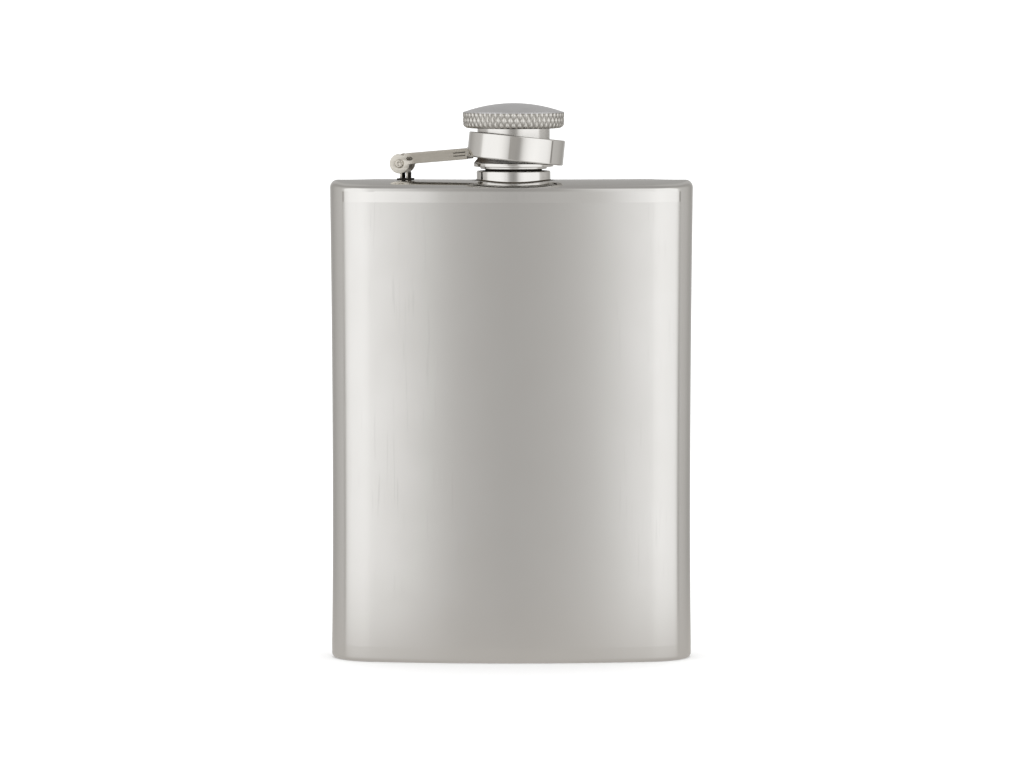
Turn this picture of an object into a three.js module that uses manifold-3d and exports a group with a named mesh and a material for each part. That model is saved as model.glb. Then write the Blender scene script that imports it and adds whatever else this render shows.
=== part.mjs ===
// A hip flask with a captive screw cap, in millimetres, +Z up.
// The flask stands on the plane z = 0 with the middle of its base at the origin. Its convex
// side faces -Y, and the hinge of the captive arm is on the -X side of the neck.

import * as THREE from 'three';
import { mergeVertices } from 'three/addons/utils/BufferGeometryUtils.js';
import { ParametricGeometry } from 'three/addons/geometries/ParametricGeometry.js';
import Module from 'manifold-3d';

const wasm = await Module();
wasm.setup();

// ---- Driving dimensions -------------------------------------------------------------------

const RAD = Math.PI / 180;

// Body: a kidney section, that is a round-ended band bent along an arc.
const bodyWidth = 70;
const bodyThickness = 19.6;
const bendRadius = 130;           // of the band's middle line
const deckHeight = 92.4;
const sheet = 0.6;                // wall and plates
const waistDepth = 0.42;          // how far the wall draws in at its narrowest
const waistHeight = 30;
const baseFlare = 0.24;           // how far the foot of the wall comes back out
const baseSeam = 3;               // height of the weld between base and wall
const deckSeam = deckHeight - 4;  // height of the weld between deck and wall
const baseRounding = 0.8;
const deckRounding = 1.6;
const crownLand = 3;              // half width of the flat strip along the deck
const crownRadius = 24;           // the deck falls away from that strip on this radius
const crownEnd = 0.65;            // the fall fades out where the edge faces further along X

// Neck, brazed into the deck. Heights of the neck, cap and hinge are above the deck.
const neckX = 0.4;
const collarRadius = 7.1;
const collarTop = 1.8;
const neckRadius = 5.45;
const neckBore = 4.4;
const neckTop = 6.9;
const neckBottom = -2.2;
const collarEdge = 0.22;
const threadPitch = 1.5;
const threadRound = 0.45;         // radius of the rolled thread's own section
const neckThreadBottom = 2.7;
const neckThreadStart = 3.4;      // height at which the thread's rod begins
const neckThreadTurns = 1.9;

// Cap: a threaded sleeve pressed into a knurled head, with a seal disc inside.
const capBottom = 2.2;
const capStepRadius = 6.4;
const lipRadius = 7.65;
const lipBottom = 2.62;
const lipTop = 3.3;
const shoulderTop = 4.1;          // where the slope above the lip meets the waist
const waistRadius = 6.95;
const capBore = 6.0;
const capThreadRoot = 6.35;
const capThreadBottom = 3.1;
const capThreadStart = 3.85;
const capThreadTurns = 1.8;
const boreTop = 8.2;
const sealRadius = 5.75;
const sealBottom = 7.0;
const sealTop = 8.1;
const spigotRadius = 4.0;
const spigotTop = 12.2;
const headBottom = 10.0;
const headRadius = 9.75;
const headRounding = 1.05;
const rimBevel = 0.3;
const domeRimRadius = 9.45;
const domeRim = 13.15;
const capTop = 14.8;

// Captive arm and ring, and the hinge they turn on.
const hingeReach = 21.42;         // from the neck axis back to the hinge, along X
const hingeSetback = 4.25;        // and along Y
const pivotHeight = 3.1;
const earRadius = 1.9;
const earGap = 2.4;               // half the clear width between the arm's two cheeks
const cheek = 0.6;
const armHeight = 2.1;
const armRise = 5 * RAD;          // slope of the arm while the cap is closed
const armRootLift = 0.82;         // the arm's middle line over the pivot, level with it
const ringRadius = 9.25;
const ringBore = 7.8;
const ringHeight = 4.85;
const ringShift = 0.5;            // the ring hangs off centre, away from the hinge
const ringLevel = 6.06;
const ringDrop = 5.3 * RAD;       // its far side hangs low
const ringRoll = -2.5 * RAD;      // and its front side sits high
const ringEdge = 0.3;
const rivetRadius = 0.62;
const rivetHeadRadius = 0.95;
const rivetHeadHeight = 0.45;
const pinPlay = 0.06;
const barrelRadius = 1.3;         // the post's strip, rolled round the rivet
const postLeft = -0.2;            // the strip's faces below the barrel, along the arm
const postRight = 1.25;
const footReach = 0.5;            // how far the post's foot stands out from the strip
const footHeight = 0.35;
const postGap = 0.2;              // side play between the post and the cheeks

const holePlay = 0.05;            // between the collar and the deck's hole
const socketPlay = 0.03;          // between the head and the sleeve's spigot, all round
const socketRoof = 0.1;           // and over its end
const sealEdge = 0.2;
const sealRelief = 0.1;           // the bore opens out this far below the seal

const roundSteps = 40;            // facets round a turned piece
const threadSteps = 20;           // sections in a turn of thread

// ---- Helpers ------------------------------------------------------------------------------

// A closed solid for cutting and joining, from any closed geometry.
function solid(geometry) {
  const bare = geometry.clone();
  for (const name of Object.keys(bare.attributes)) {
    if (name !== 'position') bare.deleteAttribute(name);
  }
  const merged = mergeVertices(bare, 1e-4);
  const index = merged.index.array;
  const faces = [];
  for (let i = 0; i < index.length; i += 3) {
    const [a, b, c] = [index[i], index[i + 1], index[i + 2]];
    if (a !== b && b !== c && c !== a) faces.push(a, b, c);
  }
  return new wasm.Manifold(new wasm.Mesh({
    numProp: 3,
    vertProperties: Float32Array.from(merged.attributes.position.array),
    triVerts: Uint32Array.from(faces),
  }));
}

// The geometry of a finished solid.
function shape(manifold) {
  const mesh = manifold.getMesh();
  const geometry = new THREE.BufferGeometry();
  const position = new THREE.BufferAttribute(Float32Array.from(mesh.vertProperties), 3);
  geometry.setAttribute('position', position);
  geometry.setIndex(new THREE.BufferAttribute(Uint32Array.from(mesh.triVerts), 1));
  geometry.computeVertexNormals();
  return geometry;
}

// A turned piece: a closed profile of [radius, height] pairs, turned about +Z.
function turned(profile, steps = roundSteps) {
  const points = profile.map(([radius, height]) => new THREE.Vector2(radius, height));
  if (profile[0][0] > 0) points.push(points[0].clone());
  return new THREE.LatheGeometry(points, steps).rotateX(Math.PI / 2);
}

// The quarter or part circle of a rounded edge, as [across, up] pairs.
function arcPoints(centreAcross, centreUp, radius, from, to, steps) {
  const points = [];
  for (let i = 0; i <= steps; i += 1) {
    const angle = from + (to - from) * i / steps;
    points.push([centreAcross + radius * Math.cos(angle), centreUp + radius * Math.sin(angle)]);
  }
  return points;
}

// A round rod of the thread's own section, wound up a helix.
class Helix extends THREE.Curve {
  constructor(radius, bottom, turns) {
    super();
    Object.assign(this, { radius, bottom, turns });
  }

  getPoint(t, target = new THREE.Vector3()) {
    const angle = 2 * Math.PI * this.turns * t;
    const height = this.bottom + threadPitch * this.turns * t;
    return target.set(this.radius * Math.cos(angle), this.radius * Math.sin(angle), height);
  }
}

function threadRod(radius, bottom, turns) {
  const section = new THREE.Shape().absarc(0, 0, threadRound, 0, 2 * Math.PI);
  const path = new Helix(radius, bottom, turns);
  const steps = Math.round(turns * threadSteps);
  return new THREE.ExtrudeGeometry(section, { curveSegments: 4, steps, extrudePath: path });
}

// ---- Body ---------------------------------------------------------------------------------

const endRadius = bodyThickness / 2;
const bendHalfAngle = Math.asin((bodyWidth / 2 - endRadius) / bendRadius);
const bendSag = bendRadius * (1 - Math.cos(bendHalfAngle));
const middleY = -bendSag / 2;     // the band's middle line at x = 0
const archSteps = 16;
const endSteps = 11;
const perimeterSteps = 2 * (archSteps + endSteps);

// Where the perimeter's step number falls: a point on the band's middle line and the outward
// direction there. It runs along the convex front, round the +X end, back and round the -X end.
function station(step) {
  const i = step % perimeterSteps;
  let bend = bendHalfAngle;
  let turn = 0;
  if (i < archSteps) {
    bend = bendHalfAngle * (2 * i / archSteps - 1);
    turn = bend - Math.PI / 2;
  } else if (i < archSteps + endSteps) {
    turn = bendHalfAngle - Math.PI / 2 + Math.PI * (i - archSteps) / endSteps;
  } else if (i < 2 * archSteps + endSteps) {
    bend = bendHalfAngle * (1 - 2 * (i - archSteps - endSteps) / archSteps);
    turn = bend + Math.PI / 2;
  } else {
    bend = -bendHalfAngle;
    turn = Math.PI / 2 - bendHalfAngle + Math.PI * (i - 2 * archSteps - endSteps) / endSteps;
  }
  return {
    x: bendRadius * Math.sin(bend),
    y: middleY + bendRadius * (1 - Math.cos(bend)),
    nx: Math.cos(turn),
    ny: Math.sin(turn),
  };
}

// How far the wall stands out from its narrowest at a height.
function flare(z) {
  const above = (z - waistHeight) / (deckHeight - waistHeight);
  const below = (waistHeight - z) / waistHeight;
  return z > waistHeight ? waistDepth * above ** 2 : baseFlare * below ** 2;
}

// The distance from the middle line out to the wall's outer face.
const reach = (z) => endRadius - waistDepth + flare(z);

// How far the deck has fallen at a distance from the middle line, where the edge faces ny.
function crown(away, ny) {
  const beyond = Math.max(0, away - crownLand);
  return Math.min(1, Math.abs(ny) / crownEnd) * beyond ** 2 / (2 * crownRadius);
}

// A band-shaped shell: a profile of [distance from the middle line, height, share] carried round
// the body's perimeter. The share, if there is one, is how much of the deck's fall it follows.
function carried(profile) {
  const place = (u, v, target) => {
    const at = station(Math.round(u * perimeterSteps));
    const [away, height, share = 0] = profile[Math.round(v * (profile.length - 1))];
    const fall = share * crown(away, at.ny);
    target.set(at.x + at.nx * away, at.y + at.ny * away, height - fall);
  };
  return new ParametricGeometry(place, perimeterSteps, profile.length - 1);
}

// Solids made by carrying a profile can come out inside out; this turns them right way round.
function outward(geometry) {
  const index = geometry.index.array;
  const position = geometry.attributes.position;
  const [a, b, c] = [new THREE.Vector3(), new THREE.Vector3(), new THREE.Vector3()];
  let volume = 0;
  for (let i = 0; i < index.length; i += 3) {
    a.fromBufferAttribute(position, index[i]);
    b.fromBufferAttribute(position, index[i + 1]);
    c.fromBufferAttribute(position, index[i + 2]);
    volume += a.dot(b.cross(c));
  }
  if (volume < 0) index.reverse();
  return geometry;
}

function bodyWall() {
  const heights = [];
  const courses = 6;
  for (let i = 0; i <= courses; i += 1) {
    heights.push(baseSeam + (deckSeam - baseSeam) * i / courses);
  }
  const outside = heights.map((z) => [reach(z), z]);
  const inside = heights.map((z) => [reach(z) - sheet, z]).reverse();
  return outward(carried([...outside, ...inside, outside[0]]));
}

function basePlate() {
  const away = reach(baseSeam);
  const corner = away - baseRounding;
  const profile = [
    [0, 0],
    ...arcPoints(corner, baseRounding, baseRounding, -Math.PI / 2, 0, 4),
    [away, baseSeam],
    [away - sheet, baseSeam],
    ...arcPoints(corner, baseRounding, baseRounding - sheet, 0, -Math.PI / 2, 3),
    [0, sheet],
  ];
  return outward(carried(profile));
}

function deckPlate() {
  const away = reach(deckSeam);
  const corner = away - deckRounding;
  const top = deckHeight - deckRounding;
  const inner = deckRounding - sheet;
  // The rounded edge ends level all round, so the fall fades out down it.
  const edge = (radius, from, to, steps) => arcPoints(corner, top, radius, from, to, steps)
    .map(([across, up]) => [across, up, (up - top) / radius]);
  const profile = [
    [0, deckHeight, 1],
    [crownLand, deckHeight, 1],
    [(crownLand + corner) / 2, deckHeight, 1],
    ...edge(deckRounding, Math.PI / 2, 0, 4),
    [away, deckSeam],
    [away - sheet, deckSeam],
    ...edge(inner, 0, Math.PI / 2, 3),
    [(crownLand + corner) / 2, deckHeight - sheet, 1],
    [crownLand, deckHeight - sheet, 1],
    [0, deckHeight - sheet, 1],
  ];
  const holeRadius = collarRadius + holePlay;
  const holeDepth = 12;
  const hole = new THREE.CylinderGeometry(holeRadius, holeRadius, holeDepth, roundSteps)
    .rotateX(Math.PI / 2)
    .rotateZ(Math.PI / 2)
    .translate(neckX, middleY, deckHeight);
  return shape(solid(outward(carried(profile))).subtract(solid(hole)));
}

// ---- Neck ---------------------------------------------------------------------------------

function neckFitting() {
  const root = neckRadius - threadRound;
  const runOut = 0.3;
  const mouthEdge = 0.2;
  const profile = [
    [neckBore, neckBottom],
    [collarRadius, neckBottom],
    [collarRadius, collarTop - collarEdge],
    [collarRadius - collarEdge, collarTop],
    [neckRadius, collarTop],
    [neckRadius, neckThreadBottom],
    [root, neckThreadBottom + runOut],
    [root, neckTop - 2 * mouthEdge],
    [root - mouthEdge, neckTop],
    [neckBore, neckTop],
  ];
  const thread = threadRod(root, neckThreadStart, neckThreadTurns);
  return shape(solid(turned(profile)).add(solid(thread)));
}

// ---- Cap ----------------------------------------------------------------------------------

function capSleeve() {
  const relief = capThreadRoot - capBore;
  const profile = [
    [0, boreTop],
    [capBore, boreTop],
    [capBore, sealBottom - sealRelief],
    [capThreadRoot, sealBottom - sealRelief - relief],
    [capThreadRoot, capThreadBottom + relief],
    [capBore, capThreadBottom],
    [capBore, capBottom],
    [capStepRadius, capBottom],
    [capStepRadius, lipBottom],
    [lipRadius, lipBottom],
    [lipRadius, lipTop],
    [waistRadius, shoulderTop],
    [waistRadius, headBottom],
    [spigotRadius, headBottom],
    [spigotRadius, spigotTop],
    [0, spigotTop],
  ];
  const thread = threadRod(capThreadRoot, capThreadStart, capThreadTurns);
  return shape(solid(turned(profile)).add(solid(thread)));
}

function capHead() {
  const socket = spigotRadius + socketPlay;
  const dome = (domeRimRadius ** 2 + (capTop - domeRim) ** 2) / (2 * (capTop - domeRim));
  const domeHalfAngle = Math.asin(domeRimRadius / dome);
  const profile = [
    [0, spigotTop + socketRoof],
    [socket, spigotTop + socketRoof],
    [socket, headBottom],
    ...arcPoints(headRadius - headRounding, headBottom + headRounding, headRounding,
      -Math.PI / 2, 0, 4),
    [headRadius, domeRim - rimBevel],
    ...arcPoints(0, capTop - dome, dome, Math.PI / 2 - domeHalfAngle, Math.PI / 2, 6),
  ];
  profile[profile.length - 1][0] = 0;
  return shape(solid(turned(profile)));
}

function capSeal() {
  return shape(solid(turned([
    [0, sealBottom],
    [sealRadius - sealEdge, sealBottom],
    [sealRadius, sealBottom + sealEdge],
    [sealRadius, sealTop],
    [0, sealTop],
  ])));
}

// ---- Captive arm, ring and hinge ----------------------------------------------------------

const armHeading = Math.atan2(-hingeSetback, hingeReach);
const hingeX = neckX - hingeReach;
const hingeY = middleY + hingeSetback;
const armReach = Math.hypot(hingeReach, hingeSetback);

// The ring is made about its own axis, and its group puts it round the cap.
function captiveRing() {
  const half = ringHeight / 2;
  const flareWide = 0.45;         // the bore opens out below, so it slips over the lip
  const flareHigh = 0.85;
  return shape(solid(turned([
    [ringBore + flareWide, -half],
    [ringRadius - ringEdge, -half],
    [ringRadius, -half + ringEdge],
    [ringRadius, half - ringEdge],
    [ringRadius - ringEdge, half],
    [ringBore + ringEdge, half],
    [ringBore, half - ringEdge],
    [ringBore, -half + flareHigh],
  ])));
}

// A flat outline in the arm's side view, given a thickness across the arm.
function slab(outline, from, to, curveSegments = 8) {
  const depth = to - from;
  return new THREE.ExtrudeGeometry(outline, { depth, bevelEnabled: false, curveSegments })
    .rotateX(Math.PI / 2)
    .translate(0, to, 0);
}

// Where the arm's middle line is over the pivot, at a distance along the arm.
const armMiddle = (along) => armRootLift + along * Math.tan(armRise);

// One folded strip: two cheeks that straddle the post, and a web that joins them on top.
function hingeArm() {
  const half = armHeight / 2;
  const farEnd = armReach - ringBore;
  const bodyStart = 3.0;          // where the arm's straight underside begins
  const webStart = 2.4;
  const webThick = 0.48;
  const webSink = 0.02;           // the web lies this far below the cheeks' top edges
  const webLap = 0.1;             // and reaches this far into each cheek
  const underside = -5 * RAD;     // where the ear's round meets the underside
  const topside = 101 * RAD;      // and where it meets the top edge
  const side = new THREE.Shape();
  side.absarc(0, 0, earRadius, underside, topside, true);
  side.lineTo(farEnd, armMiddle(farEnd) + half);
  side.lineTo(farEnd, armMiddle(farEnd) - half);
  side.lineTo(bodyStart, armMiddle(bodyStart) - half);
  side.closePath();
  const webTop = half - webSink;
  const top = new THREE.Shape();
  top.moveTo(webStart, armMiddle(webStart) + webTop - webThick);
  top.lineTo(farEnd, armMiddle(farEnd) + webTop - webThick);
  top.lineTo(farEnd, armMiddle(farEnd) + webTop);
  top.lineTo(webStart, armMiddle(webStart) + webTop);
  top.closePath();
  const web = slab(top, -earGap - webLap, earGap + webLap);
  // The window, in the front cheek only: its centre along and up, and its half width and height.
  const [windowAlong, windowUp, windowWide, windowHigh] = [2.0, 0.98, 0.62, 0.36];
  const window = new THREE.Shape()
    .absellipse(windowAlong, windowUp, windowWide, windowHigh, 0, 2 * Math.PI);
  const pinHole = new THREE.Shape().absarc(0, 0, rivetRadius + pinPlay, 0, 2 * Math.PI);
  const wide = earGap + cheek + 1;  // past the cheeks' outer faces
  const clearOfRing = ringRadius + 0.15;
  const clearHeight = 20;
  const clearSteps = 60;
  const ringClearance = new THREE.CylinderGeometry(clearOfRing, clearOfRing, clearHeight, clearSteps)
    .rotateX(Math.PI / 2)
    .rotateX(ringRoll)
    .rotateY(ringDrop)
    .translate(armReach + ringShift, 0, ringLevel - pivotHeight);
  return shape(solid(slab(side, earGap, earGap + cheek, 12))
    .add(solid(slab(side, -earGap - cheek, -earGap, 12)))
    .add(solid(web))
    .subtract(solid(slab(window, -wide, 0)))
    .subtract(solid(slab(pinHole, -wide, wide)))
    .subtract(solid(ringClearance)));
}

// The rivet that the arm turns on, with a formed head outside each cheek.
function hingeRivet() {
  const end = earGap + cheek + 0.05;  // the heads stand just clear of the cheeks
  const crest = end + rivetHeadHeight;
  const corner = rivetHeadRadius - 0.35;
  const cornerDrop = 0.07;        // how far the crest slopes off before its corner
  const steps = 20;
  const profile = [
    [0, -crest],
    [corner, -crest + cornerDrop],
    [rivetHeadRadius, -end],
    [rivetRadius, -end],
    [rivetRadius, end],
    [rivetHeadRadius, end],
    [corner, crest - cornerDrop],
    [0, crest],
  ];
  return shape(solid(turned(profile, steps).rotateX(Math.PI / 2)));
}

// The post: a strip that stands on the deck and is rolled into a barrel round the rivet.
function hingePost() {
  const outline = new THREE.Shape();
  outline.moveTo(postLeft - footReach, -pivotHeight);
  outline.lineTo(postRight + footReach, -pivotHeight);
  outline.lineTo(postRight + footReach, -pivotHeight + footHeight);
  outline.lineTo(postRight, -pivotHeight + footHeight);
  outline.absarc(0, 0, barrelRadius, -Math.acos(postRight / barrelRadius),
    2 * Math.PI - Math.acos(postLeft / barrelRadius), false);
  outline.lineTo(postLeft, -pivotHeight + footHeight);
  outline.lineTo(postLeft - footReach, -pivotHeight + footHeight);
  outline.closePath();
  outline.holes.push(
    new THREE.Path().absarc(0, 0, rivetRadius + pinPlay, 0, 2 * Math.PI, true),
  );
  const deep = earGap - postGap;
  return shape(solid(slab(outline, -deep, deep)));
}

// ---- Materials ----------------------------------------------------------------------------

const polished = { color: 0xc9c6c0, metalness: 1, roughness: 0.12 };
const machined = { color: 0xc4bfb6, metalness: 1, roughness: 0.3 };
const rubber = { color: 0x2a2a2a, metalness: 0, roughness: 0.7 };

function piece(name, geometry, finish) {
  const mesh = new THREE.Mesh(geometry, new THREE.MeshStandardMaterial(finish));
  mesh.name = name;
  return mesh;
}

// ---- Assembly -----------------------------------------------------------------------------

const neckGroup = new THREE.Group();
neckGroup.position.set(neckX, middleY, deckHeight);
neckGroup.add(
  piece('neck_fitting', neckFitting(), polished),
  piece('cap_sleeve', capSleeve(), polished),
  piece('cap_head', capHead(), machined),
  piece('cap_seal', capSeal(), rubber),
);

// The hinge's own frame: X along the arm, Y along the rivet.
const hingeGroup = new THREE.Group();
hingeGroup.position.set(hingeX, hingeY, deckHeight + pivotHeight);
hingeGroup.rotation.z = armHeading;

const ring = piece('captive_ring', captiveRing(), polished);
ring.position.set(armReach + ringShift, 0, ringLevel - pivotHeight);
ring.rotation.set(ringRoll, ringDrop, 0, 'YXZ');
hingeGroup.add(
  piece('hinge_arm', hingeArm(), machined),
  piece('hinge_rivet', hingeRivet(), machined),
  piece('hinge_post', hingePost(), machined),
  ring,
);

const flask = new THREE.Group();
flask.add(
  piece('body_wall', bodyWall(), polished),
  piece('base_plate', basePlate(), polished),
  piece('deck_plate', deckPlate(), polished),
  neckGroup,
  hingeGroup,
);

export default flask;
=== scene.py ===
"""A polished steel hip flask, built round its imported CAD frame.

Sizes are in millimetres and become metres as each mesh is made. Heights of the neck, cap and
hinge are above the deck.
"""

import math

import bmesh
import bpy
from mathutils import Matrix, Vector


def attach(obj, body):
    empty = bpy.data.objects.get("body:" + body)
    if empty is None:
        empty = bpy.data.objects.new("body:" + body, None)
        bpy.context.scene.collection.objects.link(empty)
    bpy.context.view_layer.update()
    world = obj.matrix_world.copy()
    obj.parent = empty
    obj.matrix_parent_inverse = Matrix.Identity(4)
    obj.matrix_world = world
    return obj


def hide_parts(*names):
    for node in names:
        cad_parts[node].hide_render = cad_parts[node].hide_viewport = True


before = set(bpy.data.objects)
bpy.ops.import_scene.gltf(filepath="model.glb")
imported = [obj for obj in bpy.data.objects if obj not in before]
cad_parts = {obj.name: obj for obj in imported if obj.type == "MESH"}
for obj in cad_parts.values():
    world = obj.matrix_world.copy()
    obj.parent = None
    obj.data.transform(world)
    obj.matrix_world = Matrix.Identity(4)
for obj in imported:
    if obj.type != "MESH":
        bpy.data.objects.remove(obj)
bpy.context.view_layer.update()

MM = 0.001
TAU = 2 * math.pi

# ---- Dimensions of the body ---------------------------------------------------------------

BODY_WIDTH = 70
END_RADIUS = 9.8
BEND_RADIUS = 130
DECK = 92.4
SHEET = 0.6
WAIST_DEPTH = 0.42
WAIST_HEIGHT = 30
BASE_FLARE = 0.24
BASE_SEAM = 3
DECK_SEAM = DECK - 4
BASE_ROUNDING = 0.8
DECK_ROUNDING = 1.6
CROWN_LAND = 3
CROWN_RADIUS = 24
BEND = math.asin((BODY_WIDTH / 2 - END_RADIUS) / BEND_RADIUS)
MIDDLE_Y = -BEND_RADIUS * (1 - math.cos(BEND)) / 2

# ---- Dimensions of the neck, cap, ring and hinge ------------------------------------------

NECK_X = 0.4
COLLAR_RADIUS = 7.1
COLLAR_TOP = 1.8
HOLE_RADIUS = COLLAR_RADIUS + 0.05
NECK_BORE = 4.4
NECK_FOOT = -2.2
NECK_SHOULDER = 5.45
NECK_ROOT = 5.0
NECK_RIM = 6.9
THREAD_PITCH = 1.5
NECK_THREAD_START = 3.4
NECK_THREAD_LAPS = 1.9
CAP_ROOT = 6.35
CAP_THREAD_START = 3.85
CAP_THREAD_LAPS = 1.8
CAP_ROOF = 8.2
LIP_RADIUS = 7.65
LIP_BOTTOM = 2.62
CAP_WAIST = 6.95
SPIGOT_RADIUS = 4.0
SPIGOT_TOP = 12.2
HEAD_BOTTOM = 10.0
HEAD_RADIUS = 9.75
HEAD_ROUNDING = 1.05
DOME_RIM_RADIUS = 9.45
DOME_RIM = 13.15
CAP_TOP = 14.8
KNURL_COUNT = 52
KNURL_PERIOD = 2.1
KNURL_DEPTH = 0.26
HINGE_REACH = 21.42
HINGE_SETBACK = 4.25
PIVOT_HEIGHT = 3.1
ARM_REACH = math.hypot(HINGE_REACH, HINGE_SETBACK)
ARM_HEADING = math.atan2(-HINGE_SETBACK, HINGE_REACH)
ARM_SLOPE = math.tan(math.radians(5))
ARM_ROOT_LIFT = 0.82
ARM_HEIGHT = 2.1
ARM_FOLD = 0.45
EAR_RADIUS = 1.9
CHEEK_INSIDE = 2.4
CHEEK = 0.6
RIVET_RADIUS = 0.62
POST_STRIP = 0.45
POST_LEGS = (0.02, 1.2)
RING_RADIUS = 9.25
RING_BORE = 7.8
RING_HEIGHT = 4.85
RING_SHIFT = 0.5
RING_LEVEL = 6.06
RING_DROP = math.radians(5.3)
RING_ROLL = math.radians(2.5)
RING_CLEAR = RING_RADIUS + 0.12

# Where each group of pieces stands: round the neck's axis, round the rivet, round the ring's axis.
NECK_PLACE = Matrix.Translation((NECK_X, MIDDLE_Y, DECK))
HINGE_PLACE = (Matrix.Translation((NECK_X - HINGE_REACH, MIDDLE_Y + HINGE_SETBACK,
                                   DECK + PIVOT_HEIGHT))
               @ Matrix.Rotation(ARM_HEADING, 4, "Z"))
RING_PLACE = (HINGE_PLACE
              @ Matrix.Translation((ARM_REACH + RING_SHIFT, 0, RING_LEVEL - PIVOT_HEIGHT))
              @ Matrix.Rotation(RING_DROP, 4, "Y") @ Matrix.Rotation(-RING_ROLL, 4, "X"))

# ---- Mesh helpers -------------------------------------------------------------------------

SAME_POINT = 1e-5


def smoothstep(low, high, value):
    """0 at low, 1 at high, and an even curve between them."""
    t = min(1.0, max(0.0, (value - low) / (high - low)))
    return t * t * (3 - 2 * t)


def rounded(corners, closed=True, degrees=15):
    """An outline from (across, up, radius) corners, each rounded to its radius, or to less where
    a side is too short for it."""
    most = 0.49
    points = []
    count = len(corners)
    for i, (x, y, radius) in enumerate(corners):
        here = Vector((x, y))
        if radius == 0 or (not closed and i in (0, count - 1)):
            points.append((x, y))
            continue
        before = Vector(corners[i - 1][:2]) - here
        after = Vector(corners[(i + 1) % count][:2]) - here
        inside = before.angle(after)
        back = min(radius / math.tan(inside / 2), most * before.length, most * after.length)
        start = here + before.normalized() * back
        end = here + after.normalized() * back
        radius = back * math.tan(inside / 2)
        centre = here + (before.normalized() + after.normalized()).normalized() * (
            radius / math.sin(inside / 2))
        sweep = math.pi - inside
        steps = max(2, math.ceil(math.degrees(sweep) / degrees))
        first = start - centre
        turn = 1 if first.cross(end - centre) > 0 else -1
        for k in range(steps + 1):
            angle = turn * sweep * k / steps
            c, s = math.cos(angle), math.sin(angle)
            points.append((centre.x + first.x * c - first.y * s,
                           centre.y + first.x * s + first.y * c))
    return points


def refined(points, step, low, high):
    """The same outline with extra points wherever it runs between two heights."""
    made = []
    for i, (x, y) in enumerate(points):
        made.append((x, y))
        nx, ny = points[(i + 1) % len(points)]
        middle = (y + ny) / 2
        if low < middle < high:
            count = math.ceil(math.hypot(nx - x, ny - y) / step)
            made += [(x + (nx - x) * k / count, y + (ny - y) * k / count)
                     for k in range(1, count)]
    return made


def grid(rows, close_rows, close_columns):
    """Vertices and quads for rows of points, each row the same length."""
    verts = [p for row in rows for p in row]
    width = len(rows[0])
    faces = []
    for i in range(len(rows) if close_rows else len(rows) - 1):
        for j in range(width if close_columns else width - 1):
            a, b = i * width, (i + 1) % len(rows) * width
            k = (j + 1) % width
            faces.append((a + j, b + j, b + k, a + k))
    return verts, faces


def lathe(profile, steps, shift=None, start=0.0, sweep=TAU):
    """A profile of (radius, height) points turned about the upright axis. Shift takes a radius,
    a height and an angle and returns that point's own radius and height."""
    whole = abs(sweep - TAU) < 1e-6
    rows = []
    for i in range(steps if whole else steps + 1):
        angle = start + sweep * i / steps
        c, s = math.cos(angle), math.sin(angle)
        row = []
        for radius, height in profile:
            if shift:
                radius, height = shift(radius, height, angle)
            row.append((radius * c, radius * s, height))
        rows.append(row)
    verts, faces = grid(rows, whole, profile[0][0] > 0)
    if not whole:
        width = len(profile)
        faces.append(tuple(range(width)))
        faces.append(tuple(steps * width + j for j in reversed(range(width))))
    return verts, faces


def joined(*parts):
    """Several vertex and face lists as one."""
    verts, faces = [], []
    for part_verts, part_faces in parts:
        base = len(verts)
        verts += part_verts
        faces += [tuple(base + i for i in face) for face in part_faces]
    return verts, faces


def made_mesh(name, geometry, place=None, marks=None):
    """A mesh in metres from (vertices, faces) in millimetres, with doubled points merged and its
    faces turned outwards. Marks are one number a vertex, for the material to read."""
    verts, faces = geometry
    mesh = bpy.data.meshes.new(name)
    mesh.from_pydata(verts, [], faces)
    if marks:
        layer = mesh.attributes.new("marks", "FLOAT", "POINT")
        layer.data.foreach_set("value", marks)
    bm = bmesh.new()
    bm.from_mesh(mesh)
    bmesh.ops.remove_doubles(bm, verts=bm.verts, dist=SAME_POINT)
    bmesh.ops.dissolve_degenerate(bm, edges=bm.edges, dist=SAME_POINT)
    bmesh.ops.recalc_face_normals(bm, faces=bm.faces)
    bm.to_mesh(mesh)
    bm.free()
    mesh.transform(Matrix.Scale(MM, 4) @ (place or Matrix.Identity(4)))
    return mesh


def add_object(name, mesh, material):
    mesh.materials.append(material)
    made = bpy.data.objects.new(name, mesh)
    bpy.context.scene.collection.objects.link(made)
    return made


def add_piece(name, geometry, material, body, place=None, replaces=(), sharp=40,
              marks=None):
    """Makes a piece, shades it with edges above sharp degrees kept, and fixes it to its body."""
    mesh = made_mesh(name, geometry, place, marks)
    mesh.shade_smooth()
    mesh.set_sharp_from_angle(angle=math.radians(sharp))
    piece = add_object(name, mesh, material)
    weighted = piece.modifiers.new("Even shading", "WEIGHTED_NORMAL")
    weighted.keep_sharp = True
    for node in replaces:
        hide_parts(node)
    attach(piece, body)


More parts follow.
